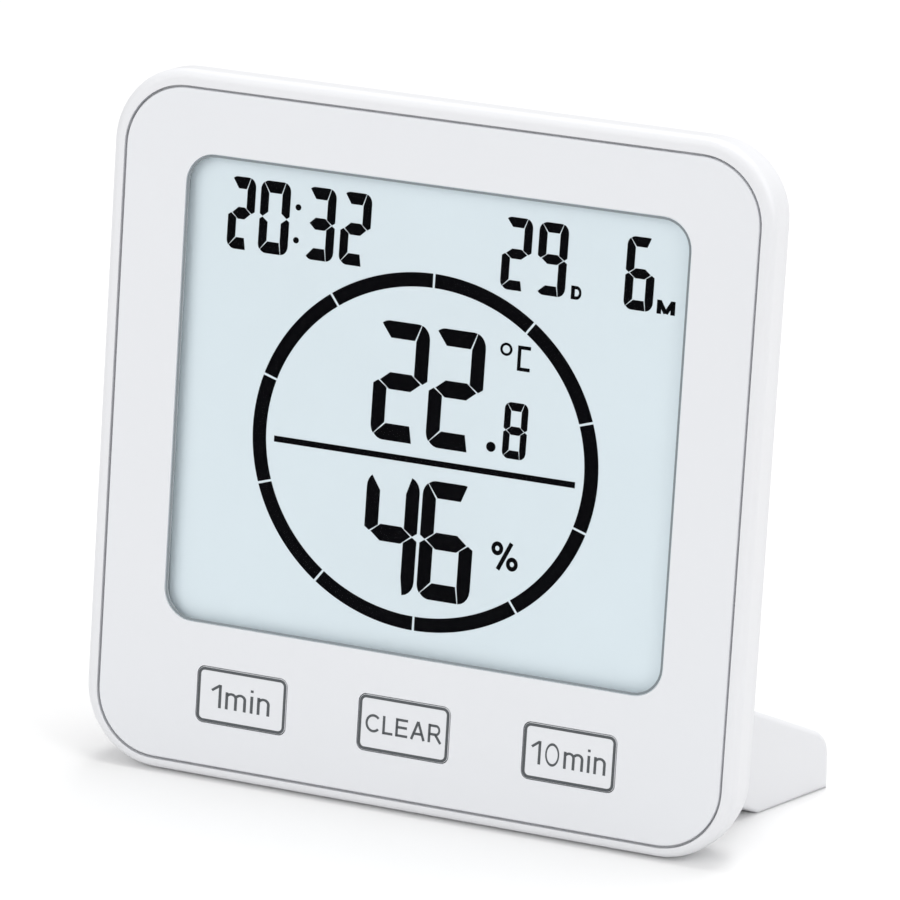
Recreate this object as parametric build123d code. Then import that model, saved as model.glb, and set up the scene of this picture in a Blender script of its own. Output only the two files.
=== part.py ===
from build123d import *
import os
from math import cos, radians, sin, tan

os.makedirs("parts", exist_ok=True)

# A square digital hygrometer and clock with a fold-out stand, in millimetres.
# It is drawn upright: X to the right, Y from the front face to the back and
# Z up from the bottom of the case. It is leaned back and set down at the end.

# Case
case_width = 84.0
case_height = 84.2
case_corner = 9.4
rim_round = 1.05
side_rim = 1.55
top_rim = 1.9
bottom_rim = 1.17
lean_angle = 8.2
split_depth = 3.4
front_wall = 1.4
floor_thickness = 1.4
fit_gap = 0.1
edge_break = 0.2

# Faceplate, a flat panel let into the front shell
plate_gap = 0.3
plate_thickness = 1.0

# Display window, by its distance from the case's sides, top and bottom, and the glass behind it
window_side = 9.85
window_above = 9.6
window_below = 18.6
window_corner = 3.7
window_recess = 0.15
window_flange = 1.35
flange_thickness = 0.4
glass_thickness = 1.1
glass_corner = 1.5
glass_gap = 0.2
ledge_height = 3.5
film_thickness = 0.2
film_margin = 1.0
holder_thickness = 1.0
holder_bar = 2.5
strip_width = 2.0
strip_margin = 4.5

# Front keys
key_side = 20.8
key_centre = 10.1
key_width = 11.7
key_height = 6.7
key_corner = 0.9
key_gap = 0.12
key_break = 0.08
key_travel = 0.25
key_flange = 0.75
key_flange_thickness = 0.7
key_stem_radius = 1.5
dome_radius = 2.6
dome_height = 0.08
stop_gap = 0.04

# Circuit board
board_side = 8.6
board_bottom = 3.5
board_above = 2.7
board_corner = 2.0
board_thickness = 0.8
board_post_radius = 2.0
board_screw_inset = 2.2
board_screw_rise = 3.0
board_screw_drop = 2.3
board_screw_radius = 0.7
board_screw_head = 1.5
board_screw_head_height = 0.7
chip_radius = 5.0
chip_height = 0.75
chip_drop = 6.6
crystal_radius = 1.0
crystal_length = 6.0
crystal_x = -9.0
crystal_drop = 16.0
sensor_size = 3.0
sensor_height = 1.2
sensor_inset = 4.2
sensor_drop = 14.5
buzzer_radius = 6.5
buzzer_height = 3.2
buzzer_port_radius = 1.2
buzzer_drop = 9.5

# Back shell
shell_step = 0.25
lip_thickness = 0.9
lip_height = 0.8
shelf_depth = 7.5
shell_wall = 1.2
back_round = 3.0
hump_side = 9.0
hump_above = 5.7
hump_bottom_share = 0.3515
hump_corner = 5.0
hump_draft = 4.0
hump_round = 2.0
hump_wall = 1.6
vent_count = 5
vent_pitch = 2.9
vent_width = 1.3
vent_rise = 1.8
vent_margin = 2.2
keyhole_drop = 11.5
keyhole_radius = 3.6
keyhole_slot = 3.8
keyhole_rise = 5.5

# Case screws
case_screw_side = 5.8
case_screw_bottom = 14.0
case_screw_above = 12.2
case_post_radius = 2.3
case_post_depth = 5.0
case_screw_radius = 0.8
case_screw_head = 1.8
case_screw_head_height = 1.0
head_pocket = 2.0
head_floor = 1.0

# Battery bay with two small round cells, one above the other
bay_side = 8.65
bay_below = 5.4
bay_above = 22.3
bay_lift = 0.45
bay_wall = 2.6
bay_floor = 1.1
cell_gap = 0.2
nub_share = 0.37
nub_height = 1.0
contact_thickness = 0.4
contact_margin = 0.6
contact_share = 1.75
leaf_share = 0.62
leaf_width_share = 0.97
leaf_thickness = 0.35

# Battery cover, hinged along its lower edge
cover_ledge = 1.7
cover_thickness = 1.3
cover_gap = 0.15
cover_corner = 1.2
trunnion_radius = 0.45
trunnion_length = 0.9
trunnion_clearance = 0.05
thumb_width = 12.0
thumb_depth = 2.6
thumb_round = 1.8

# Setting buttons on the back
button_inner_share = 0.409
button_outer_share = 0.727
button_drop = 9.0
button_radius = 2.4
button_gap = 0.15
button_proud = 0.5
button_travel = 0.8
button_flange = 0.8
button_stem_radius = 1.3
switch_size = 6.0
switch_height = 3.4
plunger_radius = 1.6
plunger_height = 0.5

# Stand
stand_thickness = 11.15
stand_gap = 0.3
stand_open_angle = 110.7
stand_clear = 2.16
stand_root_inset = 5.38
stand_tip_over = 0.47
stand_wall = 1.6
stand_tip_round = 3.6
stand_rib = 1.2
stand_edge_round = 0.6
hinge_height = 10.1
lug_inset = 20.0
lug_width = 7.0
lug_radius = 4.4
lug_side_gap = 0.5
lug_tip_gap = 0.8
knuckle_width = 5.0
pin_radius = 1.25
pin_clearance = 0.05

# Depths that follow from those sizes
floor_back = plate_thickness + floor_thickness
glass_front = plate_thickness + flange_thickness
rear_glass_front = glass_front + glass_thickness
glass_back = rear_glass_front + glass_thickness
board_front = glass_back + holder_thickness
board_back = board_front + board_thickness
shell_inside = shelf_depth - shell_wall
hinge_depth = shelf_depth + stand_gap + stand_thickness / 2
case_depth = hinge_depth + stand_thickness / 2
cover_front = case_depth - cover_thickness
hump_inside = case_depth - hump_wall
bay_floor_back = board_back + bay_lift + bay_floor

# Outlines that follow from those sizes
case_centre = case_height / 2
window_width = case_width - 2 * window_side
window_height = case_height - window_above - window_below
window_centre = window_below + window_height / 2
pocket_width = case_width - 2 * side_rim
pocket_height = case_height - top_rim - bottom_rim
pocket_centre = bottom_rim + pocket_height / 2
pocket_corner = case_corner - side_rim
plate_width = pocket_width - 2 * plate_gap
plate_height = pocket_height - 2 * plate_gap
plate_corner = pocket_corner - plate_gap
glass_width = window_width + 2 * window_flange
glass_height = window_height + 2 * window_flange
glass_bottom = window_centre - glass_height / 2
board_width = case_width - 2 * board_side
board_top = case_height - board_above
board_height = board_top - board_bottom
board_centre = board_bottom + board_height / 2
board_screw_x = board_width / 2 - board_screw_inset
chip_centre = window_centre - chip_drop
hump_width = case_width - 2 * hump_side
hump_bottom = case_height * hump_bottom_share
hump_top = case_height - hump_above
hump_height = hump_top - hump_bottom
hump_centre = hump_bottom + hump_height / 2
crystal_z = hump_top - crystal_drop
sensor_x = sensor_inset - hump_width / 2
sensor_z = hump_top - sensor_drop
buzzer_z = hump_top - buzzer_drop
button_z = hump_top - button_drop
keyhole_z = hump_top - keyhole_drop

# The cells are as thick as the bay's depth or its height allows, whichever is less
room_in_depth = (cover_front - bay_floor_back) / 2 - cell_gap
room_in_height = (hump_height - bay_below - bay_above - 3 * cell_gap) / 4
cell_radius = min(room_in_depth, room_in_height)
cell_depth = bay_floor_back + cell_gap + cell_radius
nub_radius = nub_share * cell_radius
contact_height = contact_share * cell_radius
leaf_radius = leaf_share * cell_radius
leaf_width = leaf_width_share * cell_radius
bay_length = hump_width - 2 * bay_side
bay_height = 4 * cell_radius + 3 * cell_gap
bay_centre = hump_bottom + bay_below + bay_height / 2
vent_start = bay_centre + bay_height / 2 + bay_wall + vent_rise
cell_length = bay_length - 2 * contact_thickness - leaf_radius - cell_gap
cover_width = bay_length + 2 * cover_ledge
cover_height = bay_height + 2 * cover_ledge
cover_hinge_z = bay_centre - cover_height / 2 + cover_thickness / 2
cover_hinge_depth = case_depth - cover_thickness / 2
stand_reach = hump_bottom - hinge_height - stand_clear
stand_root_half = case_width / 2 - stand_root_inset
stand_tip_half = case_width / 2 + stand_tip_over
lug_x = case_width / 2 - lug_inset
key_places = [side * (case_width / 2 - key_side) for side in (-1, 0, 1)]
button_places = [side * share * hump_width / 2 for side, share in (
    (-1, button_outer_share), (-1, button_inner_share), (1, button_inner_share), (1, button_outer_share))]
case_screws_at = [(side * (case_width / 2 - case_screw_side), z) for side in (-1, 1)
                  for z in (case_screw_bottom, case_height - case_screw_above)]
board_screws_at = [(side * board_screw_x, z) for side in (-1, 1)
                   for z in (board_bottom + board_screw_rise, board_top - board_screw_drop)]


def prism(outline, front, back):
    """Solid from an outline in X and Z, between two depths."""
    plane = Plane(origin=(0, back, 0), x_dir=(1, 0, 0), z_dir=(0, -1, 0))
    return extrude(plane * outline, back - front)


def side_prism(outline, x, width):
    """Solid from an outline in Y and Z, centred on x."""
    plane = Plane(origin=(x - width / 2, 0, 0), x_dir=(0, 1, 0), z_dir=(1, 0, 0))
    return extrude(plane * outline, width)


def panel(width, height, corner, centre, front, back, x=0.0):
    """Rounded rectangular block whose middle is at x and at the height centre."""
    return prism(Pos(x, centre) * RectangleRounded(width, height, corner), front, back)


def block(width, height, centre, front, back, x=0.0):
    """Square-cornered block whose middle is at x and at the height centre."""
    return prism(Pos(x, centre) * Rectangle(width, height), front, back)


def rod(radius, x, z, front, back):
    """Round rod along the depth."""
    return prism(Pos(x, z) * Circle(radius), front, back)


def cross_rod(radius, x, y, z, length):
    """Round rod along X, centred on x."""
    return side_prism(Pos(y, z) * Circle(radius), x, length)


def ring_edges(solid, depth):
    """Edges of the solid that lie at one depth."""
    return solid.edges().filter_by_position(Axis.Y, depth - edge_break / 10, depth + edge_break / 10)


def window_opening(margin):
    """Outline of the display window, grown by a margin."""
    return Pos(0, window_centre) * RectangleRounded(
        window_width + 2 * margin, window_height + 2 * margin, window_corner + margin)


def front_shell():
    """White front moulding: rim, floor behind the faceplate, posts and screw bosses."""
    shell = panel(case_width, case_height, case_corner, case_centre, 0, split_depth)
    shell = fillet(ring_edges(shell, 0), rim_round)
    shell -= panel(pocket_width, pocket_height, pocket_corner, pocket_centre, 0, plate_thickness)
    shell -= panel(case_width - 2 * front_wall, case_height - 2 * front_wall, case_corner - front_wall,
                   case_centre, floor_back, split_depth)
    for x, z in case_screws_at:
        shell += rod(case_post_radius, x, z, plate_thickness, case_post_depth)
        shell -= rod(case_screw_radius, x, z, floor_back, case_post_depth)
    for x, z in board_screws_at:
        shell += rod(board_post_radius, x, z, plate_thickness, board_front)
        shell -= rod(board_screw_radius, x, z, floor_back, board_front)
    shell -= panel(glass_width + 2 * glass_gap, glass_height + 2 * glass_gap, glass_corner + glass_gap,
                   window_centre, plate_thickness, floor_back)
    for x in key_places:
        shell -= panel(key_width + 2 * key_gap, key_height + 2 * key_gap, key_corner + key_gap,
                       key_centre, plate_thickness, floor_back, x)
    return shell


def faceplate():
    """Flat front panel with the window and the three key openings."""
    plate = panel(plate_width, plate_height, plate_corner, pocket_centre, 0, plate_thickness)
    plate = fillet(ring_edges(plate, 0), edge_break)
    plate -= prism(window_opening(0), 0, plate_thickness)
    for x in key_places:
        plate -= panel(key_width + 2 * key_gap, key_height + 2 * key_gap, key_corner + key_gap,
                       key_centre, 0, plate_thickness, x)
    return plate


def display_window():
    """Clear window, stepped so that its flange is held behind the faceplate."""
    pane = prism(window_opening(-fit_gap), window_recess, plate_thickness)
    flange = panel(glass_width, glass_height, glass_corner, window_centre, plate_thickness, glass_front)
    return pane + flange


def lcd_front_glass():
    """Front sheet of the display, full size."""
    return panel(glass_width, glass_height, glass_corner, window_centre, glass_front, rear_glass_front)


def lcd_rear_glass():
    """Rear sheet of the display, short at the bottom to leave the contact ledge."""
    height = glass_height - ledge_height
    return panel(glass_width, height, glass_corner, window_centre + ledge_height / 2,
                 rear_glass_front, glass_back)


def lcd_reflector():
    """Reflecting film on the back of the display."""
    height = glass_height - ledge_height - 2 * (holder_bar + film_margin)
    return panel(glass_width - 2 * (holder_bar + film_margin), height, glass_corner,
                 window_centre + ledge_height / 2, glass_back, glass_back + film_thickness)


def lcd_holder():
    """Frame that backs the glass against the board and locates the contact strip."""
    frame = panel(glass_width, glass_height, glass_corner, window_centre, glass_back, board_front)
    frame -= panel(glass_width - 2 * holder_bar, glass_height - ledge_height - 2 * holder_bar, glass_corner,
                   window_centre + ledge_height / 2, glass_back, board_front)
    frame -= block(glass_width - 2 * (strip_margin - fit_gap), strip_width + 2 * fit_gap,
                   glass_bottom + ledge_height / 2, glass_back, board_front)
    return frame


def contact_strip():
    """Rubber strip that joins the glass ledge to the board."""
    return block(glass_width - 2 * strip_margin, strip_width, glass_bottom + ledge_height / 2,
                 rear_glass_front, board_front)


def front_key(x):
    """Flush key cap with its retaining flange and stem."""
    flange_front = floor_back + fit_gap
    flange_back = flange_front + key_flange_thickness
    cap = panel(key_width, key_height, key_corner, key_centre, 0, flange_front, x)
    cap = fillet(ring_edges(cap, 0), key_break)
    cap += panel(key_width + 2 * key_flange, key_height + 2 * key_flange, key_corner, key_centre,
                 flange_front, flange_back, x)
    stem_end = board_front - dome_height - stop_gap - key_travel
    return cap + rod(key_stem_radius, x, key_centre, flange_back, stem_end)


def key_domes():
    """Three snap domes on the board, at the height they have when pressed."""
    rims = [rod(dome_radius, x, key_centre, board_front - dome_height, board_front) for x in key_places]
    return [chamfer(ring_edges(rim, board_front - dome_height), dome_height / 2) for rim in rims]


def circuit_board():
    """Board behind the display, held by four screws."""
    board = panel(board_width, board_height, board_corner, board_centre, board_front, board_back)
    for x, z in board_screws_at:
        board -= rod(board_screw_radius + fit_gap, x, z, board_front, board_back)
    return board


def controller_chip():
    """Round resin cap over the controller, in the space behind the glass."""
    cap = rod(chip_radius, 0, chip_centre, board_front - chip_height, board_front)
    return fillet(ring_edges(cap, board_front - chip_height), chip_height * 0.6)


def clock_crystal():
    """Small round can of the clock crystal, lying on the board."""
    return cross_rod(crystal_radius, crystal_x, board_back + crystal_radius, crystal_z, crystal_length)


def humidity_sensor():
    """Square sensor beside the vents, with the small port in its face."""
    body = block(sensor_size, sensor_size, sensor_z, board_back, board_back + sensor_height, sensor_x)
    port = rod(sensor_size / 6, sensor_x, sensor_z, board_back + sensor_height / 2, board_back + sensor_height)
    return body - port


def buzzer():
    """Round alarm buzzer on the back of the board."""
    can = rod(buzzer_radius, 0, buzzer_z, board_back, board_back + buzzer_height)
    can = fillet(ring_edges(can, board_back + buzzer_height), edge_break)
    return can - rod(buzzer_port_radius, 0, buzzer_z, board_back + buzzer_height / 2, board_back + buzzer_height)


def tact_switches():
    """Four switches under the setting buttons."""
    switches = []
    for x in button_places:
        top = board_back + switch_height
        body = block(switch_size, switch_size, button_z, board_back, top, x)
        switches.append(body + rod(plunger_radius, x, button_z, top, top + plunger_height))
    return switches


def screw(x, z, head_front, head_radius, head_height, shank_radius, shank_end):
    """Cross-head screw whose head looks to the back."""
    head = rod(head_radius, x, z, head_front, head_front + head_height)
    head = fillet(ring_edges(head, head_front + head_height), head_height / 3)
    cross = block(head_radius, head_radius / 4, z, head_front + head_height / 2, head_front + head_height, x)
    cross += block(head_radius / 4, head_radius, z, head_front + head_height / 2, head_front + head_height, x)
    return head - cross + rod(shank_radius, x, z, shank_end, head_front)


def case_screws():
    """Four screws that close the case."""
    return [screw(x, z, case_post_depth + head_floor, case_screw_head, case_screw_head_height,
                  case_screw_radius, floor_back + fit_gap) for x, z in case_screws_at]


def board_screws():
    """Four screws that hold the board."""
    return [screw(x, z, board_back, board_screw_head, board_screw_head_height,
                  board_screw_radius, floor_back + fit_gap) for x, z in board_screws_at]


def hinge_lug(x):
    """Lug on the back shell that carries the stand."""
    arm = Pos((shell_inside + hinge_depth) / 2, hinge_height) * Rectangle(
        hinge_depth - shell_inside, 2 * lug_radius)
    eye = Pos(hinge_depth, hinge_height) * Circle(lug_radius)
    bore = Pos(hinge_depth, hinge_height) * Circle(pin_radius + pin_clearance)
    return side_prism(arm + eye - bore, x, lug_width)


def back_shell():
    """White back moulding: edge, shelf for the stand, hump with the battery bay, vents and keyhole."""
    edge_corner = case_corner - shell_step
    shell = panel(case_width - 2 * shell_step, case_height - 2 * shell_step, edge_corner, case_centre,
                  split_depth, shelf_depth)
    shell = fillet(ring_edges(shell, shelf_depth), back_round)
    hump_plane = Plane(origin=(0, shelf_depth, hump_centre), x_dir=(1, 0, 0), z_dir=(0, 1, 0))
    hump_outline = hump_plane * RectangleRounded(hump_width, hump_height, hump_corner)
    hump = extrude(hump_outline, case_depth - shelf_depth, taper=hump_draft)
    hump = fillet(ring_edges(hump, case_depth), hump_round)
    shell += hump

    lip_inset = front_wall + fit_gap
    lip_width = case_width - 2 * lip_inset
    lip_tall = case_height - 2 * lip_inset
    shell += panel(lip_width, lip_tall, case_corner - lip_inset, case_centre,
                   split_depth - lip_height, split_depth)
    shell -= panel(lip_width - 2 * lip_thickness, lip_tall - 2 * lip_thickness,
                   case_corner - lip_inset - lip_thickness, case_centre,
                   split_depth - lip_height, shell_inside)
    lean_in = (case_depth - shelf_depth) * tan(radians(hump_draft))
    shell -= panel(hump_width - 2 * (hump_wall + lean_in), hump_height - 2 * (hump_wall + lean_in),
                   hump_corner / 2, hump_centre, shell_inside, hump_inside)

    bay_front = bay_floor_back - bay_floor
    shell += block(bay_length + 2 * bay_wall, bay_height + 2 * bay_wall, bay_centre, bay_front, hump_inside)
    shell -= block(bay_length, bay_height, bay_centre, bay_floor_back, case_depth)
    shell -= panel(cover_width + 2 * cover_gap, cover_height + 2 * cover_gap, cover_corner, bay_centre,
                   cover_front - fit_gap, case_depth)
    shell -= block(cover_width + 2 * cover_gap, 2 * cover_corner,
                   bay_centre - cover_height / 2 - cover_gap + cover_corner, cover_front - fit_gap, case_depth)
    shell -= cross_rod(trunnion_radius + trunnion_clearance, 0, cover_hinge_depth, cover_hinge_z,
                       cover_width + 2 * (trunnion_length + fit_gap))
    shell -= panel(thumb_width, 2 * thumb_depth, thumb_round, bay_centre + cover_height / 2,
                   cover_front - fit_gap, case_depth)

    for x, z in case_screws_at:
        shell += rod(case_post_radius, x, z, case_post_depth, shell_inside)
        shell -= rod(case_screw_radius + fit_gap, x, z, case_post_depth, shelf_depth)
        shell -= rod(head_pocket, x, z, case_post_depth + head_floor, shelf_depth)
    for x in button_places:
        shell -= rod(button_radius + button_gap, x, button_z, hump_inside, case_depth)
    shell -= rod(keyhole_radius, 0, keyhole_z, hump_inside, case_depth)
    slot = Pos(0, keyhole_z + keyhole_rise / 2) * Rectangle(keyhole_slot, keyhole_rise)
    slot += Pos(0, keyhole_z + keyhole_rise) * Circle(keyhole_slot / 2)
    shell -= prism(slot, hump_inside, case_depth)
    for i in range(vent_count):
        z = vent_start + i * vent_pitch
        shell -= block(hump_width + 2 * hump_wall, vent_width, z, shelf_depth + vent_margin,
                       hump_inside - vent_margin)
    for side in (-1, 1):
        shell += hinge_lug(side * lug_x)
    return shell


def battery_cover():
    """Cover plate that swings out about two trunnions at its lower edge."""
    cover = panel(cover_width, cover_height, cover_corner, bay_centre, cover_front, case_depth)
    round_end = cross_rod(cover_thickness / 2, 0, cover_hinge_depth, cover_hinge_z,
                          cover_width - 2 * cover_corner)
    cover -= block(cover_width, cover_thickness / 2, cover_hinge_z - cover_thickness / 4,
                   cover_front, case_depth)
    cover += round_end
    cover += cross_rod(trunnion_radius, 0, cover_hinge_depth, cover_hinge_z,
                       cover_width + 2 * trunnion_length)
    return cover


def battery_cell(z, turned):
    """Small round cell along X, with its raised terminal at one end."""
    nub_side = 1 if turned else -1
    body_length = cell_length - nub_height
    nub_end = nub_side * (bay_length / 2 - contact_thickness - cell_gap / 2)
    body_x = nub_end - nub_side * (nub_height + body_length / 2)
    body = cross_rod(cell_radius, body_x, cell_depth, z, body_length)
    body = fillet(body.edges().filter_by(GeomType.CIRCLE), edge_break)
    return body + cross_rod(nub_radius, nub_end - nub_side * nub_height / 2, cell_depth, z, nub_height)


def battery_contact(side):
    """Sprung strip at one end of the bay: a flat pad for one cell, a bowed leaf for the other."""
    face_x = side * (bay_length / 2 - contact_thickness / 2)
    height = bay_height - 2 * contact_margin
    front = cell_depth - contact_height / 2
    plate = block(contact_thickness, height, bay_centre, front, front + contact_height, face_x)
    leaf_z = bay_centre + side * (cell_radius + cell_gap / 2)
    inner_x = side * (bay_length / 2 - contact_thickness)
    bow = Circle(leaf_radius) - Circle(leaf_radius - leaf_thickness)
    bow &= Pos(-side * leaf_radius / 2, 0) * Rectangle(leaf_radius, 2 * leaf_radius)
    plane = Plane(origin=(inner_x, cell_depth, leaf_z - leaf_width / 2), x_dir=(1, 0, 0), z_dir=(0, 0, 1))
    return plate + extrude(plane * bow, leaf_width)


def setting_button(x):
    """Round button with a long stem down to its switch."""
    stem_end = board_back + switch_height + plunger_height + stop_gap + button_travel
    flange_back = hump_inside - fit_gap
    cap = rod(button_radius, x, button_z, flange_back, case_depth + button_proud)
    cap = fillet(ring_edges(cap, case_depth + button_proud), button_proud * 0.8)
    cap += rod(button_radius + button_flange, x, button_z, flange_back - button_flange, flange_back)
    return cap + rod(button_stem_radius, x, button_z, stem_end, flange_back)


def stand_angle():
    """Slope of the open stand against the table."""
    return radians(stand_open_angle - 90 + lean_angle)


def stand_foot():
    """Where the foot cut starts on the outer face and ends at the tip, and how far the inner face reaches."""
    half = stand_thickness / 2
    slope = stand_angle()
    hinge_rise = hinge_height * cos(radians(lean_angle)) - (hinge_depth - split_depth) * sin(radians(lean_angle))
    foot_start = (hinge_rise - half * cos(slope)) / sin(slope)
    foot_end = (hinge_rise - stand_reach * sin(slope)) / cos(slope)
    return foot_start, foot_end, stand_reach - (half + foot_end) * tan(slope)


def stand_side():
    """Side outline of the stand about its hinge, with the cut that lies on the table when it is open."""
    half = stand_thickness / 2
    foot_start, foot_end, inner_end = stand_foot()
    outline = Polyline((half, 0), (half, foot_start), (foot_end, stand_reach), (-half, inner_end), (-half, 0))
    outline += ThreePointArc((-half, 0), (0, -half), (half, 0))
    outline = make_face(outline)
    corner = outline.vertices().sort_by_distance((-half, inner_end))[0]
    return fillet(corner, stand_tip_round)


def stand_wedge(inset):
    """Flared wedge that trims the stand's ends, which are upright when the stand is open on the table."""
    slope = stand_angle()
    tip_out = stand_reach * cos(slope) - stand_foot()[1] * sin(slope)
    flare = (stand_tip_half - stand_root_half) / tip_out
    low = -stand_thickness
    high = tip_out + stand_thickness
    low_half = stand_root_half + flare * low - inset
    high_half = stand_root_half + flare * high - inset
    outline = Polyline((-low_half, low), (low_half, low), (high_half, high), (-high_half, high), close=True)
    upright = Plane(origin=(0, 0, 0), x_dir=(1, 0, 0), z_dir=(0, -cos(slope), -sin(slope)))
    return extrude(upright * make_face(outline), stand_reach + stand_thickness, both=True)


def stand():
    """Hollow fold-out stand, drawn closed about its hinge axis, then swung open to its place."""
    half = stand_thickness / 2
    full = 2 * stand_tip_half + stand_thickness
    body = side_prism(stand_side(), 0, full) & stand_wedge(0)
    ends = body.faces().sort_by(Axis.X)
    body = fillet(ends[0].edges() + ends[-1].edges(), stand_edge_round)

    mouth_top = stand_foot()[2] - stand_tip_round
    mouth_height = mouth_top + half - stand_wall
    inner = offset(stand_side(), -stand_wall)
    inner += Pos(-half, mouth_top - mouth_height / 2) * Rectangle(stand_thickness, mouth_height)
    hollow = side_prism(inner, 0, full) & stand_wedge(stand_wall)
    slot_width = lug_width + 2 * lug_side_gap
    slot_top = lug_radius + lug_tip_gap
    knuckle_top = slot_top + stand_wall
    for side in (-1, 1):
        hollow -= block(slot_width + 2 * knuckle_width, knuckle_top + half, (knuckle_top - half) / 2,
                        -stand_thickness, stand_thickness, side * lug_x)
    for x in (-lug_x, 0, lug_x):
        hollow -= block(stand_rib, 2 * stand_reach, 0, stand_rib - half, stand_thickness, x)
    body -= hollow
    for side in (-1, 1):
        body -= block(slot_width, slot_top + half, (slot_top - half) / 2, -half, half, side * lug_x)
        body -= cross_rod(pin_radius, side * lug_x, 0, 0, slot_width + 2 * knuckle_width)
    opened = Rot(X=-stand_open_angle) * body
    return Pos(0, hinge_depth, hinge_height) * opened


def hinge_pins():
    """Two steel pins, one through each lug."""
    length = lug_width + 2 * (lug_side_gap + knuckle_width)
    return [cross_rod(pin_radius, side * lug_x, hinge_depth, hinge_height, length) for side in (-1, 1)]


pieces = {
    "front_shell": front_shell(),
    "faceplate": faceplate(),
    "display_window": display_window(),
    "lcd_front_glass": lcd_front_glass(),
    "lcd_rear_glass": lcd_rear_glass(),
    "lcd_reflector": lcd_reflector(),
    "lcd_holder": lcd_holder(),
    "contact_strip": contact_strip(),
    "key_one_minute": front_key(key_places[0]),
    "key_clear": front_key(key_places[1]),
    "key_ten_minutes": front_key(key_places[2]),
    "key_domes": key_domes(),
    "circuit_board": circuit_board(),
    "controller_chip": controller_chip(),
    "clock_crystal": clock_crystal(),
    "humidity_sensor": humidity_sensor(),
    "buzzer": buzzer(),
    "tact_switches": tact_switches(),
    "board_screws": board_screws(),
    "back_shell": back_shell(),
    "case_screws": case_screws(),
    "battery_contact_left": battery_contact(-1),
    "battery_contact_right": battery_contact(1),
    "battery_cell_upper": battery_cell(bay_centre + cell_radius + cell_gap / 2, False),
    "battery_cell_lower": battery_cell(bay_centre - cell_radius - cell_gap / 2, True),
    "battery_cover": battery_cover(),
    "button_mode": setting_button(button_places[0]),
    "button_set": setting_button(button_places[1]),
    "button_up": setting_button(button_places[2]),
    "button_down": setting_button(button_places[3]),
    "stand": stand(),
    "hinge_pins": hinge_pins(),
}

# The case leans back onto its lower back edge and the stand, centred over its footprint.
lean = Rot(X=-lean_angle)
leaned = {name: lean * (Compound(children=piece) if isinstance(piece, list) else piece)
          for name, piece in pieces.items()}
boxes = [shape.bounding_box() for shape in leaned.values()]
front_reach = min(box.min.Y for box in boxes)
back_reach = max(box.max.Y for box in boxes)
table_height = min(box.min.Z for box in boxes)
place = Pos(0, -(front_reach + back_reach) / 2, -table_height)


def standing(depth, height):
    """Where a point of the upright case comes to lie, in depth and height."""
    point = (place * lean * Pos(0, depth, height)).position
    return f"Y {point.Y:.4f} Z {point.Z:.4f}"


for name, shape in leaned.items():
    export_step(place * shape, f"parts/{name}.step")

print("stand hinge", standing(hinge_depth, hinge_height))
print("battery cover hinge", standing(cover_hinge_depth, cover_hinge_z))
print("keyhole", standing((hump_inside + case_depth) / 2, keyhole_z))
print("plate bottom line", standing(0, bottom_rim + plate_gap / 2))
print("overall depth", back_reach - front_reach, "height", max(box.max.Z for box in boxes) - table_height)
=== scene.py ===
import bmesh
import bpy
from math import cos, pi, radians, sin, tan
from mathutils import Matrix, Vector


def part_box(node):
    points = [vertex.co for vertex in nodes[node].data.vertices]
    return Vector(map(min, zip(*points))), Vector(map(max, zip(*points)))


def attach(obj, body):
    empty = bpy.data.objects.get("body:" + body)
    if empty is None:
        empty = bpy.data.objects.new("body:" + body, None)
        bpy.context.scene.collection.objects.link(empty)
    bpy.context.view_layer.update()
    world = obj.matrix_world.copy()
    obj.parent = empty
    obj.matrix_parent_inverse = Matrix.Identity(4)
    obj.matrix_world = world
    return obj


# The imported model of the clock: everything below is fitted to it.
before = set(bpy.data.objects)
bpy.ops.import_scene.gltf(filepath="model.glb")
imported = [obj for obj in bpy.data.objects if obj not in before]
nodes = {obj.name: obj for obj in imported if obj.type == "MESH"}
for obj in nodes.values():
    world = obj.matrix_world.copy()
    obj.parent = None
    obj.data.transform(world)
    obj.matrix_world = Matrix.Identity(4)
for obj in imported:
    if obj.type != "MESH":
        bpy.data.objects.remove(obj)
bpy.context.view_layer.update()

# Camera: a long lens at the front right, 25 degrees round from the display and 19 degrees above it.
# Its place is measured from the middle of the case's lower front edge, and that edge's place is worked
# out from the display's front glass. What is drawn for the case is drawn upright, with X to the right,
# Y from front to back and Z up, and then leaned back with it.
mm = 0.001
lean = radians(8.2)
glass_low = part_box("lcd_front_glass")[0]
glass_front = 1.4 * mm
glass_back = 2.5 * mm
glass_bottom = 17.25 * mm
case_corner = Vector((0.0, glass_low.y - glass_front * cos(lean) - glass_bottom * sin(lean),
                      glass_low.z + glass_back * sin(lean) - glass_bottom * cos(lean)))
case_place = Matrix.Translation(case_corner) @ Matrix.Rotation(-lean, 4, "X")
eye = case_corner + Vector((0.31667, -0.66145, 0.30182))
turn_left = radians(25.109)
look_down = radians(19.305)
forward = Vector((-sin(turn_left) * cos(look_down), cos(turn_left) * cos(look_down), -sin(look_down)))
camera_data = bpy.data.cameras.new("reader")
camera_data.sensor_width = 36.0
camera_data.lens = 270.29
camera_data.clip_start = 0.01
camera = bpy.data.objects.new("reader", camera_data)
camera.matrix_world = Matrix.Translation(eye) @ forward.to_track_quat("-Z", "Y").to_matrix().to_4x4()
bpy.context.scene.collection.objects.link(camera)
bpy.context.scene.camera = camera

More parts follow.
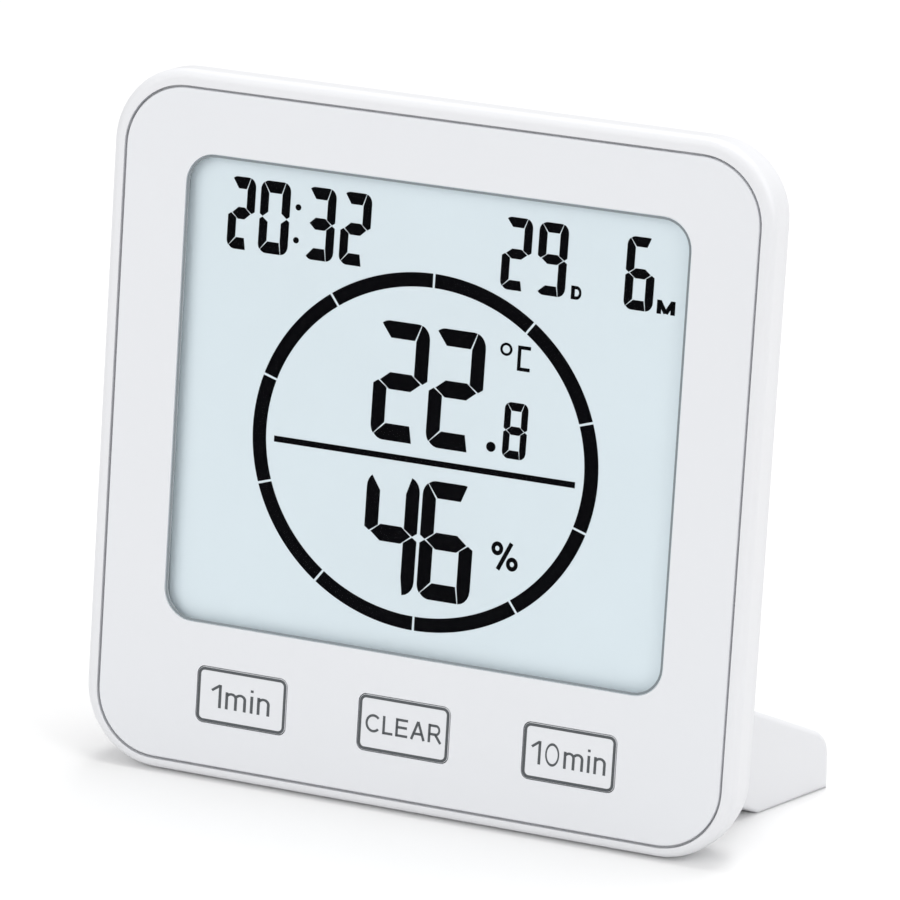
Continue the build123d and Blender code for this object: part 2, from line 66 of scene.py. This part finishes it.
# Studio: a white table in a white room, and three large soft lamps.
# The table keeps the clock's shadow, and its own colour is what makes the ground white.
bpy.context.scene.view_settings.view_transform = "Standard"
table_size = 0.5
table_mesh = bpy.data.meshes.new("table")
table_bm = bmesh.new()
bmesh.ops.create_grid(table_bm, x_segments=1, y_segments=1, size=table_size)
table_bm.to_mesh(table_mesh)
table_bm.free()
table_top = bpy.data.objects.new("table", table_mesh)
bpy.context.scene.collection.objects.link(table_top)
table_white = bpy.data.materials.new("table_white")
table_white.use_nodes = True
table_shader = table_white.node_tree.nodes["Principled BSDF"]
table_shader.inputs["Roughness"].default_value = 0.9
table_shader.inputs["Specular IOR Level"].default_value = 0.0
table_view = table_white.node_tree.nodes.new("ShaderNodeLightPath")
table_shade = table_white.node_tree.nodes.new("ShaderNodeMix")
table_shade.data_type = "RGBA"
table_shade.inputs["A"].default_value = (0.80, 0.80, 0.80, 1.0)
table_shade.inputs["B"].default_value = (0.91, 0.91, 0.91, 1.0)
table_white.node_tree.links.new(table_view.outputs["Is Camera Ray"], table_shade.inputs["Factor"])
table_white.node_tree.links.new(table_shade.outputs["Result"], table_shader.inputs["Base Color"])
table_mesh.materials.append(table_white)

room = bpy.data.worlds.new("room")
bpy.context.scene.world = room
room.use_nodes = True
room_light = room.node_tree.nodes["Background"]
room_light.inputs["Color"].default_value = (1.0, 1.0, 1.0, 1.0)
room_path = room.node_tree.nodes.new("ShaderNodeLightPath")
room_seen = room.node_tree.nodes.new("ShaderNodeMapRange")
room_seen.inputs["To Min"].default_value = 0.60
room_seen.inputs["To Max"].default_value = 1.0
room.node_tree.links.new(room_path.outputs["Is Camera Ray"], room_seen.inputs["Value"])
room.node_tree.links.new(room_seen.outputs["Result"], room_light.inputs["Strength"])


def softbox(name, place, target, size, watts):
    """Square soft lamp of that size in metres, turned from its place to its target."""
    data = bpy.data.lights.new(name, "AREA")
    data.shape = "SQUARE"
    data.size = size
    data.energy = watts
    lamp = bpy.data.objects.new(name, data)
    way = Vector(target) - Vector(place)
    lamp.matrix_world = Matrix.Translation(place) @ way.to_track_quat("-Z", "Y").to_matrix().to_4x4()
    bpy.context.scene.collection.objects.link(lamp)


softbox("overhead", (0.05, 0.24, 0.9), (0.0, 0.0, 0.0), 0.6, 4.6)
softbox("front_left", (-0.45, -0.8, 0.45), (0.0, 0.0, 0.03), 0.8, 3.2)
softbox("right_side", (0.75, -0.15, 0.4), (0.0, 0.0, 0.04), 0.6, 2.1)

# Case mouldings: front frame, back shell and battery cover, injection-moulded in white plastic.
# The front frame is polished; the back shell and the cover carry a fine spark-eroded grain.
# The back shell is held to the front frame by four screws.
white_plastic = (0.785, 0.79, 0.81)


def plastic(name, colour, shade, roughness, grain, depth, gloss=0.5):
    """Moulded plastic: two near shades in soft clouds and a grain of that size and depth in metres."""
    material = bpy.data.materials.new(name)
    material.use_nodes = True
    tree = material.node_tree
    shader = tree.nodes["Principled BSDF"]
    shader.inputs["Roughness"].default_value = roughness
    shader.inputs["Specular IOR Level"].default_value = gloss
    place = tree.nodes.new("ShaderNodeTexCoord")
    clouds = tree.nodes.new("ShaderNodeTexNoise")
    clouds.inputs["Scale"].default_value = 60.0
    clouds.inputs["Detail"].default_value = 3.0
    mix = tree.nodes.new("ShaderNodeMix")
    mix.data_type = "RGBA"
    mix.inputs["A"].default_value = (*colour, 1.0)
    mix.inputs["B"].default_value = (*[c * shade for c in colour], 1.0)
    fine = tree.nodes.new("ShaderNodeTexNoise")
    fine.inputs["Scale"].default_value = 1.0 / grain
    fine.inputs["Detail"].default_value = 2.0
    bump = tree.nodes.new("ShaderNodeBump")
    bump.inputs["Strength"].default_value = 0.6
    bump.inputs["Distance"].default_value = depth
    tree.links.new(place.outputs["Object"], clouds.inputs["Vector"])
    tree.links.new(place.outputs["Object"], fine.inputs["Vector"])
    tree.links.new(clouds.outputs["Fac"], mix.inputs["Factor"])
    tree.links.new(mix.outputs["Result"], shader.inputs["Base Color"])
    tree.links.new(fine.outputs["Fac"], bump.inputs["Height"])
    tree.links.new(bump.outputs["Normal"], shader.inputs["Normal"])
    return material


def dress(node, material):
    """Gives a CAD node its material."""
    mesh = nodes[node].data
    mesh.materials.clear()
    mesh.materials.append(material)


frame_white = plastic("frame_white", white_plastic, 0.985, 0.32, 0.4 * mm, 0.002 * mm)
shell_white = plastic("shell_white", white_plastic, 0.98, 0.45, 0.25 * mm, 0.012 * mm)
dress("front_shell", frame_white)
dress("back_shell", shell_white)
dress("battery_cover", shell_white)

# Faceplate: a flat white sheet with a smooth, faintly glossy face.
# It is let into the front frame, flush with the rim, and bonded to the floor behind it.
panel_white = plastic("panel_white", (0.775, 0.787, 0.813), 0.985, 0.3, 0.6 * mm, 0.001 * mm)
dress("faceplate", panel_white)

# Display window: a clear acrylic pane whose face lies just below the faceplate's.
# A flange all round holds it behind the faceplate. It glints only at a flat angle.
pane_clear = bpy.data.materials.new("pane_clear")
pane_clear.use_nodes = True
pane_tree = pane_clear.node_tree
pane_tree.nodes.remove(pane_tree.nodes["Principled BSDF"])
pane_through = pane_tree.nodes.new("ShaderNodeBsdfTransparent")
pane_through.inputs["Color"].default_value = (0.995, 0.998, 0.998, 1.0)
pane_gloss = pane_tree.nodes.new("ShaderNodeBsdfGlossy")
pane_gloss.inputs["Roughness"].default_value = 0.12
pane_edge = pane_tree.nodes.new("ShaderNodeFresnel")
pane_edge.inputs["IOR"].default_value = 1.08
pane_mix = pane_tree.nodes.new("ShaderNodeMixShader")
pane_tree.links.new(pane_edge.outputs["Fac"], pane_mix.inputs["Fac"])
pane_tree.links.new(pane_through.outputs["BSDF"], pane_mix.inputs[1])
pane_tree.links.new(pane_gloss.outputs["BSDF"], pane_mix.inputs[2])
pane_tree.links.new(pane_mix.outputs["Shader"], pane_tree.nodes["Material Output"].inputs["Surface"])
dress("display_window", pane_clear)

# Display: a pale blue-grey liquid crystal cell of two glass sheets with a reflecting film behind.
# Seen from the front, the cell and its film read as one pale sheet.
cell_pale = plastic("cell_pale", (0.775, 0.862, 0.908), 0.985, 0.35, 1.5 * mm, 0.0005 * mm, gloss=0.1)
dress("lcd_front_glass", cell_pale)
dress("lcd_rear_glass", cell_pale)
film_silver = plastic("film_silver", (0.62, 0.66, 0.68), 0.95, 0.4, 0.2 * mm, 0.002 * mm)
dress("lcd_reflector", film_silver)

# Lit segments: the black digits, the ring of the scale, its divider and the unit marks.
# In the real cell they are dark liquid between its sheets; here they are a film on the front sheet,
# a few hundredths of a millimetre thick. Their places are measured from the case's middle and bottom.
film_depth = 0.03 * mm
segment_black = plastic("segment_black", (0.004, 0.004, 0.005), 0.8, 0.6, 0.5 * mm, 0.0005 * mm,
                        gloss=0.0)


def flat_mesh(bm, depth, thickness):
    """Gives flat faces drawn in X and Z a thickness towards the reader, at that depth in the case."""
    bmesh.ops.remove_doubles(bm, verts=bm.verts, dist=0.002 * mm)
    bmesh.ops.recalc_face_normals(bm, faces=bm.faces)
    drawn = bmesh.ops.extrude_face_region(bm, geom=bm.faces[:])
    raised = [v for v in drawn["geom"] if isinstance(v, bmesh.types.BMVert)]
    bmesh.ops.translate(bm, verts=raised, vec=(0.0, -thickness, 0.0))
    bmesh.ops.recalc_face_normals(bm, faces=bm.faces)
    bmesh.ops.translate(bm, verts=bm.verts, vec=(0.0, depth, 0.0))
    bm.transform(case_place)


def piece(name, bm, material, body):
    """Makes the finished bmesh one named piece that rides on a body."""
    mesh = bpy.data.meshes.new(name)
    bm.to_mesh(mesh)
    bm.free()
    mesh.materials.append(material)
    made = bpy.data.objects.new(name, mesh)
    bpy.context.scene.collection.objects.link(made)
    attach(made, body)


def outline_face(bm, points):
    """One flat face through a few points in X and Z."""
    bm.faces.new([bm.verts.new((x, 0.0, z)) for x, z in points])


def draw_digit(bm, numeral, left, bottom, width, height, bar, level_bar, gap):
    """One seven-segment numeral, with uprights bar wide and level segments level_bar high.

    Its outer corners are rounded, the joint in each corner has its own angle, and gaps as wide as
    gap part the segments."""
    lit = {"0": "abcdef", "2": "abged", "3": "abgcd", "4": "fgbc", "6": "afgcde", "8": "abcdefg",
           "9": "abcdfg"}
    half_w = width / 2
    half_h = height / 2
    round_wide = 0.9 * bar
    round_high = 1.05 * bar
    round_steps = 5
    middle_tip = 0.42 * bar
    middle_slope = 1.2 * bar

    def round_part(first, last):
        """Points on the upper right round, between two angles from its top."""
        angles = [first + (last - first) * i / round_steps for i in range(round_steps + 1)]
        return [(half_w - round_wide + round_wide * sin(t), half_h - round_high + round_high * cos(t))
                for t in angles]

    def upright(joint):
        """The upper right upright, from its joint with the top segment down to the middle."""
        blunt_end = [(half_w, 0.22 * bar + gap), (half_w - 0.35 * bar, gap * 0.6)]
        inner_side = [(half_w - bar, 0.37 * level_bar + gap), (half_w - bar, half_h - level_bar - gap)]
        return round_part(joint, pi / 2) + blunt_end + inner_side

    def half_level(joint):
        """The right half of the top segment, from its middle to the joint and back along its lower side."""
        inner_corner = (half_w - round_high - gap, half_h - level_bar)
        return [(x - gap, z) for x, z in round_part(0.0, joint)] + [inner_corner]

    joints = {(1, 1): radians(18), (-1, 1): radians(38), (-1, -1): radians(50), (1, -1): radians(4)}
    digit = bmesh.new()
    for name, side, level in (("b", 1, 1), ("c", 1, -1), ("e", -1, -1), ("f", -1, 1)):
        if name in lit[numeral]:
            outline_face(digit, [(x * side, z * level) for x, z in upright(joints[side, level])])
    for name, level in (("a", 1), ("d", -1)):
        if name in lit[numeral]:
            right_part = [(x, z * level) for x, z in half_level(joints[1, level])]
            left_part = [(-x, z * level) for x, z in half_level(joints[-1, level])]
            outline_face(digit, right_part + left_part[::-1])
    if "g" in lit[numeral]:
        tip = half_w - middle_tip - gap
        shoulder = half_w - middle_slope
        outline_face(digit, [(tip, 0.0), (shoulder, level_bar / 2), (-shoulder, level_bar / 2),
                             (-tip, 0.0), (-shoulder, -level_bar / 2), (shoulder, -level_bar / 2)])
    shear = Matrix.Identity(4)
    shear[0][2] = tan(radians(0.5))
    digit.transform(Matrix.Translation((left + half_w, 0.0, bottom + half_h)) @ shear)
    carry(bm, digit)


def dot(bm, x, z, radius):
    """Round dot, centred at x and z."""
    bmesh.ops.create_circle(bm, cap_ends=True, segments=24, radius=radius,
                            matrix=Matrix.Translation((x, 0.0, z)) @ Matrix.Rotation(pi / 2, 4, "X"))


def stroke(bm, start, end, weight):
    """Straight stroke of lettering with square ends, in X and Z."""
    run = Vector((end[0] - start[0], 0.0, end[1] - start[1]))
    middle = Vector((start[0] + end[0], 0.0, start[1] + end[1])) / 2
    turned = Vector((1.0, 0.0, 0.0)).rotation_difference(run).to_matrix().to_4x4()
    size = Matrix.Diagonal((run.length, 1.0, weight, 1.0))
    upright = Matrix.Rotation(pi / 2, 4, "X")
    bmesh.ops.create_grid(bm, x_segments=1, y_segments=1, size=0.5,
                          matrix=Matrix.Translation(middle) @ turned @ size @ upright)


def bow(bm, centre, half_wide, half_high, first, last, weight):
    """Bent stroke of lettering: part of an oval, between two angles in degrees from the right, upwards."""
    step_degrees = 12
    bent = bmesh.new()
    at_first = (cos(radians(first)), 0.0, sin(radians(first)))
    ends = [bent.verts.new(Vector(at_first) * r) for r in (half_high - weight / 2, half_high + weight / 2)]
    edge = bent.edges.new(ends)
    whole = last - first >= 360
    bmesh.ops.spin(bent, geom=ends + [edge], cent=(0.0, 0.0, 0.0), axis=(0.0, -1.0, 0.0),
                   angle=radians(last - first), steps=max(4, int((last - first) / step_degrees)),
                   use_merge=whole)
    oval = Matrix.Diagonal((half_wide / half_high, 1.0, 1.0, 1.0))
    bent.transform(Matrix.Translation((centre[0], 0.0, centre[1])) @ oval)
    carry(bm, bent)


def carry(bm, part):
    """Moves what is drawn in part into bm."""
    carried = bpy.data.meshes.new("carried")
    part.to_mesh(carried)
    part.free()
    bm.from_mesh(carried)
    bpy.data.meshes.remove(carried)


def draw_letter(bm, letter, w):
    """One letter at the origin, one unit high, with strokes w wide. Gives back how wide it is."""
    h = w / 2
    x_height = 0.73
    if letter == "1":
        stroke(bm, (0.34, 0.0), (0.34, 1.0), w)
        stroke(bm, (0.34 - h * 0.3, 0.97), (0.02, 0.72), w * 0.95)
        return 0.34 + h
    if letter == "0":
        bow(bm, (0.31, 0.5), 0.31 - h, 0.5 - h, 0, 360, w)
        return 0.62
    if letter in "mn":
        arch = 0.19 if letter == "n" else 0.175
        stroke(bm, (h, 0.0), (h, x_height), w)
        left = h
        for side in range(1 if letter == "n" else 2):
            bow(bm, (left + arch, x_height - h - arch), arch, arch, 0, 150, w)
            left += 2 * arch
            stroke(bm, (left, 0.0), (left, x_height - h - arch), w)
        return left + h
    if letter == "i":
        stroke(bm, (h, 0.0), (h, x_height), w)
        stroke(bm, (h, 1.0 - w), (h, 1.0), w)
        return w
    if letter == "C":
        bow(bm, (0.45, 0.5), 0.45 - h, 0.5 - h, 42, 318, w)
        return 0.82
    if letter == "L":
        stroke(bm, (h, 0.0), (h, 1.0), w)
        stroke(bm, (0.0, h), (0.58, h), w)
        return 0.58
    if letter == "E":
        stroke(bm, (h, 0.0), (h, 1.0), w)
        for level, end in ((h, 0.68), (0.52, 0.64), (1.0 - h, 0.68)):
            stroke(bm, (0.0, level), (end, level), w)
        return 0.68
    if letter == "A":
        stroke(bm, (h, 0.0), (0.42, 1.0), w)
        stroke(bm, (0.84 - h, 0.0), (0.42, 1.0), w)
        stroke(bm, (0.16, 0.33), (0.68, 0.33), w)
        return 0.84
    if letter == "R":
        stroke(bm, (h, 0.0), (h, 1.0), w)
        for level in (1.0 - h, 0.46):
            stroke(bm, (0.0, level), (0.44, level), w)
        bow(bm, (0.44, (1.46 - h) / 2), 0.25 - h, (0.54 - h) / 2, -90, 90, w)
        stroke(bm, (0.4, 0.46), (0.72, 0.0), w)
        return 0.76
    if letter == "D":
        stroke(bm, (h, 0.0), (h, 1.0), w)
        for level in (h, 1.0 - h):
            stroke(bm, (0.0, level), (0.36, level), w)
        bow(bm, (0.36, 0.5), 0.36 - h, 0.5 - h, -90, 90, w)
        return 0.74
    if letter == "M":
        for x in (h, 0.98 - h):
            stroke(bm, (x, 0.0), (x, 1.0), w)
        stroke(bm, (h, 0.96), (0.49, 0.06), w)
        stroke(bm, (0.98 - h, 0.96), (0.49, 0.06), w)
        return 0.98
    if letter == "S":
        bow(bm, (0.36, 0.74), 0.34 - h, 0.26 - h, 20, 270, w)
        bow(bm, (0.36, 0.26), 0.34 - h, 0.26 - h, -160, 90, w)
        return 0.7
    if letter == "T":
        stroke(bm, (0.34, 0.0), (0.34, 1.0), w)
        stroke(bm, (0.0, 1.0 - h), (0.68, 1.0 - h), w)
        return 0.68
    if letter == "O":
        bow(bm, (0.44, 0.5), 0.44 - h, 0.5 - h, 0, 360, w)
        return 0.88
    if letter == "+":
        stroke(bm, (0.35, 0.15), (0.35, 0.85), w)
        stroke(bm, (0.0, 0.5), (0.7, 0.5), w)
        return 0.7
    if letter == "-":
        stroke(bm, (0.0, 0.5), (0.6, 0.5), w)
        return 0.6
    bow(bm, (0.24, 0.75), 0.24 - h, 0.25 - h, 0, 360, w)
    bow(bm, (0.86, 0.25), 0.24 - h, 0.25 - h, 0, 360, w)
    stroke(bm, (0.3, 0.0), (0.8, 1.0), w)
    return 1.1


def draw_words(bm, words, left, right, bottom, top, weight):
    """Plain upright lettering, fitted into a box in X and Z, with strokes of that weight in metres."""
    height = top - bottom
    spacing = 0.16
    written = bmesh.new()
    reach = 0.0
    for letter in words:
        one = bmesh.new()
        wide = draw_letter(one, letter, weight / height)
        one.transform(Matrix.Translation((reach, 0.0, 0.0)))
        carry(written, one)
        reach += wide + spacing
    reach -= spacing
    fitted = Matrix.Diagonal(((right - left) / reach, 1.0, height, 1.0))
    written.transform(Matrix.Translation((left, 0.0, bottom)) @ fitted)
    carry(bm, written)


clock_foot = 63.57 * mm
clock_height = 8.6 * mm
clock_bar = 1.07 * mm
clock_level_bar = 1.4 * mm
small_gap = 0.075 * mm
clock_bm = bmesh.new()
for numeral, left, width in (
        ("2", -27.09, 3.4), ("0", -23.01, 3.87), ("3", -17.04, 3.8), ("2", -12.5, 3.83)):
    draw_digit(clock_bm, numeral, left * mm, clock_foot, width * mm, clock_height,
               clock_bar, clock_level_bar, small_gap)
for x, z in ((-18.06, 69.49), (-18.14, 65.59)):
    dot(clock_bm, x * mm, z * mm, 0.37 * mm)
flat_mesh(clock_bm, glass_front, film_depth)
piece("clock_segments", clock_bm, segment_black, "case")

date_height = 8.5 * mm
date_bar = 1.03 * mm
date_level_bar = 1.15 * mm
date_line = 0.38 * mm
date_bm = bmesh.new()
for numeral, left, foot, width in (
        ("2", 8.15, 63.38, 3.66), ("9", 12.63, 63.34, 3.69), ("6", 23.65, 63.12, 3.62)):
    draw_digit(date_bm, numeral, left * mm, foot * mm, width * mm, date_height,
               date_bar, date_level_bar, small_gap)
draw_words(date_bm, "D", 17.06 * mm, 18.48 * mm, 63.34 * mm, 64.92 * mm, date_line)
draw_words(date_bm, "M", 27.78 * mm, 30.04 * mm, 63.1 * mm, 64.71 * mm, date_line)
flat_mesh(date_bm, glass_front, film_depth)
piece("date_segments", date_bm, segment_black, "case")

reading_height = 14.15 * mm
reading_bar = 1.72 * mm
reading_level_bar = 2.0 * mm
reading_gap = 0.1 * mm
reading_bm = bmesh.new()
for numeral, left, foot, width in (
        ("2", -7.14, 43.65, 6.85), ("2", -0.02, 43.65, 6.85),
        ("4", -7.22, 25.57, 6.8), ("6", -0.02, 25.57, 6.8)):
    draw_digit(reading_bm, numeral, left * mm, foot * mm, width * mm, reading_height,
               reading_bar, reading_level_bar, reading_gap)
draw_digit(reading_bm, "8", 9.72 * mm, 43.71 * mm, 2.98 * mm, 6.63 * mm, 0.82 * mm, 0.98 * mm, 0.06 * mm)
dot(reading_bm, 8.27 * mm, 44.76 * mm, 0.59 * mm)
draw_words(reading_bm, "%", 9.14 * mm, 12.62 * mm, 30.49 * mm, 33.78 * mm, 0.52 * mm)
degree_x = 9.45 * mm
degree_z = 56.42 * mm
ring_start = [reading_bm.verts.new((degree_x + r, 0.0, degree_z)) for r in (0.47 * mm, 0.77 * mm)]
ring_edge = reading_bm.edges.new(ring_start)
bmesh.ops.spin(reading_bm, geom=ring_start + [ring_edge], cent=(degree_x, 0.0, degree_z),
               axis=(0.0, 1.0, 0.0), angle=2 * pi, steps=32, use_merge=True)
unit_left = 10.92 * mm
unit_right = 12.53 * mm
unit_low = 54.12 * mm
unit_high = 57.08 * mm
unit_line = 0.42 * mm
outline_face(reading_bm, [(unit_left, unit_low), (unit_right, unit_low),
                          (unit_right, unit_low + unit_line),
                          (unit_left + unit_line, unit_low + unit_line),
                          (unit_left + unit_line, unit_high - unit_line),
                          (unit_right, unit_high - unit_line),
                          (unit_right, unit_high), (unit_left, unit_high)])
flat_mesh(reading_bm, glass_front, film_depth)
piece("reading_segments", reading_bm, segment_black, "case")

scale_bm = bmesh.new()
scale_outer = 22.15 * mm
scale_inner = 20.4 * mm
scale_flat = 0.957
scale_parts = 10
scale_gap = 0.3 * mm / scale_outer
scale_x = -0.2 * mm
scale_z = 42.79 * mm
for i in range(scale_parts):
    start = i * 2 * pi / scale_parts + scale_gap / 2
    ends = [scale_bm.verts.new((r * sin(start), 0.0, r * cos(start))) for r in (scale_inner, scale_outer)]
    edge = scale_bm.edges.new(ends)
    bmesh.ops.spin(scale_bm, geom=ends + [edge], cent=(0.0, 0.0, 0.0), axis=(0.0, 1.0, 0.0),
                   angle=2 * pi / scale_parts - scale_gap, steps=16)
bmesh.ops.scale(scale_bm, vec=(1.0, 1.0, scale_flat), verts=scale_bm.verts)
bmesh.ops.translate(scale_bm, vec=(scale_x, 0.0, scale_z), verts=scale_bm.verts)
divider_left = scale_x - 19.32 * mm
divider_right = scale_x + 19.32 * mm
divider_low = 41.42 * mm
divider_high = 42.14 * mm
outline_face(scale_bm, [(divider_left, divider_low), (divider_right, divider_low),
                        (divider_right, divider_high), (divider_left, divider_high)])
flat_mesh(scale_bm, glass_front, film_depth)
piece("scale_segments", scale_bm, segment_black, "case")

# Window line: painted shade. A thin grey line round the display stands in for the shadow in the gap and
# recess between the pane and the faceplate.
# It is drawn as a hair-thin film on the pane's face, just inside the edge of the opening.
painted_gap_shade = plastic("painted_gap_shade", (0.25, 0.283, 0.303), 0.85, 0.5, 0.3 * mm, 0.0005 * mm, gloss=0.2)
window_width = 64.1 * mm
window_height = 55.8 * mm
window_corner = 3.6 * mm
window_middle = 46.6 * mm
window_depth = 0.15 * mm
painted_shade_line = 0.26 * mm
window_film = 0.02 * mm


def rounded_line(bm, width, height, corner, line, x, z):
    """Flat line of even width round the inside of a rounded oblong, centred at x and z."""
    ring = bmesh.new()
    bmesh.ops.create_grid(ring, x_segments=1, y_segments=1, size=0.5, matrix=Matrix.Rotation(pi / 2, 4, "X"))
    bmesh.ops.scale(ring, vec=(width, 1.0, height), verts=ring.verts)
    bmesh.ops.bevel(ring, geom=ring.verts[:], offset=corner, segments=8, profile=0.5,
                    affect="VERTICES", material=-1)
    inner = ring.faces[:]
    bmesh.ops.inset_region(ring, faces=inner, thickness=line, use_boundary=True, use_even_offset=True)
    bmesh.ops.delete(ring, geom=inner, context="FACES")
    bmesh.ops.translate(ring, vec=(x, 0.0, z), verts=ring.verts)
    carry(bm, ring)


window_bm = bmesh.new()
rounded_line(window_bm, window_width, window_height, window_corner, painted_shade_line, 0.0, window_middle)
flat_mesh(window_bm, window_depth, window_film)
piece("painted_shade_line", window_bm, painted_gap_shade, "case")

# Front keys: three flush white moulded caps, each with a flange that keeps it behind the faceplate.
# A grey line is printed round the edge of each cap and its legend in the middle, in thin screen ink.
dress("key_one_minute", panel_white)
dress("key_clear", panel_white)
dress("key_ten_minutes", panel_white)
ink_grey = plastic("ink_grey", (0.105, 0.113, 0.12), 0.9, 0.6, 0.2 * mm, 0.001 * mm, gloss=0.1)
ink_depth = 0.02 * mm
key_width = 11.7 * mm
key_height = 6.7 * mm
key_middle = 10.1 * mm
key_pitch = 21.2 * mm
key_corner = 0.85 * mm
key_line = 0.34 * mm
line_inset = 0.05 * mm
legend_line = 0.3 * mm
for name, body, step, words, left, right, bottom, top in (
        ("one_minute", "key_one_minute", -1, "1min", -25.19, -17.45, 8.7, 11.52),
        ("clear", "key_clear", 0, "CLEAR", -4.92, 4.93, 9.0, 11.2),
        ("ten_minutes", "key_ten_minutes", 1, "10min", 16.42, 25.88, 8.63, 11.42)):
    ink_bm = bmesh.new()
    rounded_line(ink_bm, key_width - 2 * line_inset, key_height - 2 * line_inset, key_corner, key_line,
                 step * key_pitch, key_middle)
    draw_words(ink_bm, words, left * mm, right * mm, bottom * mm, top * mm, legend_line)
    flat_mesh(ink_bm, 0.0, ink_depth)
    piece(name + "_print", ink_bm, ink_grey, body)

# Stand: one white moulding, open on the side that faces the case when it is folded up.
# It turns on two steel pins that run through the lugs of the back shell.
stand_white = plastic("stand_white", white_plastic, 0.985, 0.4, 0.3 * mm, 0.006 * mm)
dress("stand", stand_white)


def metal(name, colour, roughness, grain):
    """Bare or plated metal with fine marks of that size in metres."""
    material = plastic(name, colour, 0.85, roughness, grain, 0.003 * mm)
    material.node_tree.nodes["Principled BSDF"].inputs["Metallic"].default_value = 1.0
    return material


pin_steel = metal("pin_steel", (0.62, 0.62, 0.64), 0.28, 0.1 * mm)
dress("hinge_pins", pin_steel)

# Screws: small cross-head screws of zinc-plated steel.
# Four go through the back shell into the front frame, and four hold the board to it.
screw_steel = metal("screw_steel", (0.55, 0.55, 0.57), 0.35, 0.08 * mm)
dress("case_screws", screw_steel)
dress("board_screws", screw_steel)

# Setting buttons: four light grey moulded caps that stand half a millimetre out of the hump.
# A flange keeps each one behind the hump's wall, and its stem reaches down to a switch on the board.
button_grey = plastic("button_grey", (0.45, 0.47, 0.49), 0.95, 0.5, 0.25 * mm, 0.008 * mm)
for name in ("button_mode", "button_set", "button_up", "button_down"):
    dress(name, button_grey)

# Button legends: plain words and signs printed on the hump below each button.
# They are drawn as if read from the front and then mirrored, to be read from behind.
back_face = 18.95 * mm
legend_low = 64.3 * mm
legend_high = 65.8 * mm
back_line = 0.24 * mm
legend_bm = bmesh.new()
for words, x, half in (("MODE", 24.0, 2.5), ("SET", 13.5, 1.8), ("+", -13.5, 0.7), ("-", -24.0, 0.7)):
    draw_words(legend_bm, words, (x - half) * mm, (x + half) * mm, legend_low, legend_high, back_line)
bmesh.ops.scale(legend_bm, vec=(-1.0, 1.0, 1.0), verts=legend_bm.verts)
flat_mesh(legend_bm, back_face, -ink_depth)
piece("button_legends", legend_bm, ink_grey, "case")

# Battery bay: two wrapped cells, held between the nickel-plated spring strips at the bay's ends.
# Each wrap has a pale band near its raised end, and the terminal past it is bare steel.
# The three distances below are measured along the cell from the middle of the case.
cell_reach = 24.0 * mm
band_start = 17.8 * mm
steel_start = 22.8 * mm
wrap_blue = (0.05, 0.10, 0.17)


def wrapped_cell(name, raised_side):
    """Printed wrap along X that ends in bare steel on the side of the raised terminal."""
    material = plastic(name, wrap_blue, 0.9, 0.3, 0.5 * mm, 0.001 * mm)
    tree = material.node_tree
    shader = tree.nodes["Principled BSDF"]
    place = tree.nodes.new("ShaderNodeTexCoord")
    split = tree.nodes.new("ShaderNodeSeparateXYZ")
    along = tree.nodes.new("ShaderNodeMapRange")
    along.inputs["From Max"].default_value = raised_side * cell_reach
    bands = tree.nodes.new("ShaderNodeValToRGB")
    bands.color_ramp.interpolation = "CONSTANT"
    bands.color_ramp.elements[0].color = (*wrap_blue, 1.0)
    bands.color_ramp.elements[1].position = band_start / cell_reach
    bands.color_ramp.elements[1].color = (0.55, 0.57, 0.58, 1.0)
    bands.color_ramp.elements.new(steel_start / cell_reach).color = (0.62, 0.62, 0.60, 1.0)
    bare = tree.nodes.new("ShaderNodeMath")
    bare.operation = "GREATER_THAN"
    bare.inputs[1].default_value = steel_start / cell_reach
    tree.links.new(place.outputs["Object"], split.inputs["Vector"])
    tree.links.new(split.outputs["X"], along.inputs["Value"])
    tree.links.new(along.outputs["Result"], bands.inputs["Fac"])
    tree.links.new(along.outputs["Result"], bare.inputs[0])
    tree.links.new(bands.outputs["Color"], shader.inputs["Base Color"])
    tree.links.new(bare.outputs["Value"], shader.inputs["Metallic"])
    return material


dress("battery_cell_upper", wrapped_cell("cell_wrap_upper", -1))
dress("battery_cell_lower", wrapped_cell("cell_wrap_lower", 1))
contact_nickel = metal("contact_nickel", (0.70, 0.68, 0.62), 0.25, 0.15 * mm)
dress("battery_contact_left", contact_nickel)
dress("battery_contact_right", contact_nickel)

# Circuit board: glass-fibre board with green lacquer, screwed to the front frame.
# Soldered to it are the resin-capped controller, the crystal's steel can, the humidity sensor,
# the buzzer, four switches and the steel snap domes of the front keys.
board_green = plastic("board_green", (0.010, 0.085, 0.035), 0.8, 0.35, 0.8 * mm, 0.01 * mm)
dress("circuit_board", board_green)
resin_black = plastic("resin_black", (0.012, 0.012, 0.012), 0.8, 0.25, 0.5 * mm, 0.004 * mm)
dress("controller_chip", resin_black)
can_steel = metal("can_steel", (0.66, 0.66, 0.68), 0.25, 0.2 * mm)
dress("clock_crystal", can_steel)
part_black = plastic("part_black", (0.02, 0.02, 0.022), 0.85, 0.5, 0.2 * mm, 0.006 * mm)
dress("humidity_sensor", part_black)
dress("buzzer", part_black)
dress("tact_switches", part_black)
dome_steel = metal("dome_steel", (0.68, 0.68, 0.66), 0.22, 0.2 * mm)
dress("key_domes", dome_steel)

# Display holder and contact strip: a black moulded frame between the glass and the board.
# The strip of conductive rubber stands in the frame's lower bar and joins the glass to the board.
holder_black = plastic("holder_black", (0.015, 0.015, 0.017), 0.85, 0.55, 0.3 * mm, 0.006 * mm)
dress("lcd_holder", holder_black)
strip_rubber = plastic("strip_rubber", (0.03, 0.03, 0.032), 0.8, 0.7, 0.15 * mm, 0.01 * mm)
dress("contact_strip", strip_rubber)
